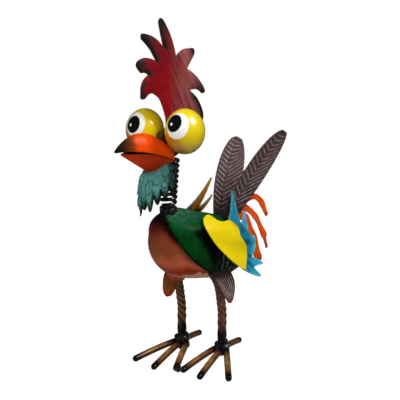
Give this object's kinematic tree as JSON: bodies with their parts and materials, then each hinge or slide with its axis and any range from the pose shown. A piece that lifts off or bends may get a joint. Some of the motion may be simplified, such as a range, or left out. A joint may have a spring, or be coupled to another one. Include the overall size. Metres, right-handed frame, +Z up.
{
  "type": "garden rooster ornament",
  "caption": "Standing sheet-metal rooster garden ornament with bulging eyes, tall comb and a head that bobs on a spring neck.",
  "frame": {"origin": "on the ground, under the middle of the whole bird's outline", "axes": "+Z up, -Y the way the beak points, +X the bird's left side"},
  "size_m": [0.1512, 0.2612, 0.4403],
  "materials": {
    "breast_paint": "gloss",
    "cape_paint": "gloss",
    "black_paint": "gloss",
    "spring_steel": "gloss",
    "eye_paint": "high gloss",
    "comb_paint": "satin",
    "beak_paint": "gloss",
    "beak_lower_paint": "gloss",
    "wattle_paint": "satin",
    "wing_paint": "gloss",
    "fringe_paint": "satin",
    "feather_paint": "satin metallic",
    "plume_paint": "satin",
    "thigh_paint": "satin metallic",
    "bar_lacquer": "clear lacquer over heat-browned bar"
  },
  "bodies": {
    "frame": {"breast_shell": "breast_paint", "back_cape": "cape_paint", "neck_socket": "black_paint", "neck_spring": "spring_steel", "wing_left": "wing_paint", "wing_right": "wing_paint", "wing_fringe_left": "fringe_paint", "wing_fringe_right": "fringe_paint", "tail_feather_left": "feather_paint", "tail_feather_right": "feather_paint", "tail_plume": "plume_paint", "thigh_feather_left": "thigh_paint", "thigh_feather_right": "thigh_paint", "leg_left": "bar_lacquer", "leg_right": "bar_lacquer", "hip_collar_right": "breast_paint", "toe_left_inner": "bar_lacquer", "toe_left_middle": "bar_lacquer", "toe_left_outer": "bar_lacquer", "toe_left_back": "bar_lacquer", "toe_right_inner": "bar_lacquer", "toe_right_middle": "bar_lacquer", "toe_right_outer": "bar_lacquer", "toe_right_back": "bar_lacquer"},
    "head": {"head_block": "black_paint", "eye_left": "eye_paint", "eye_right": "eye_paint", "comb": "comb_paint", "beak_upper": "beak_paint", "beak_lower": "beak_lower_paint", "wattle": "wattle_paint"}
  },
  "joints": [
    {"name": "head_nod", "type": "hinge", "parent": "frame", "child": "head", "pos_m": [-0.01388, -0.05006, 0.245], "axis": [1, 0, 0], "range_deg": [-8, 8], "stiffness_Nm_per_rad": 4.5, "deforming": ["neck_spring"]}
  ]
}
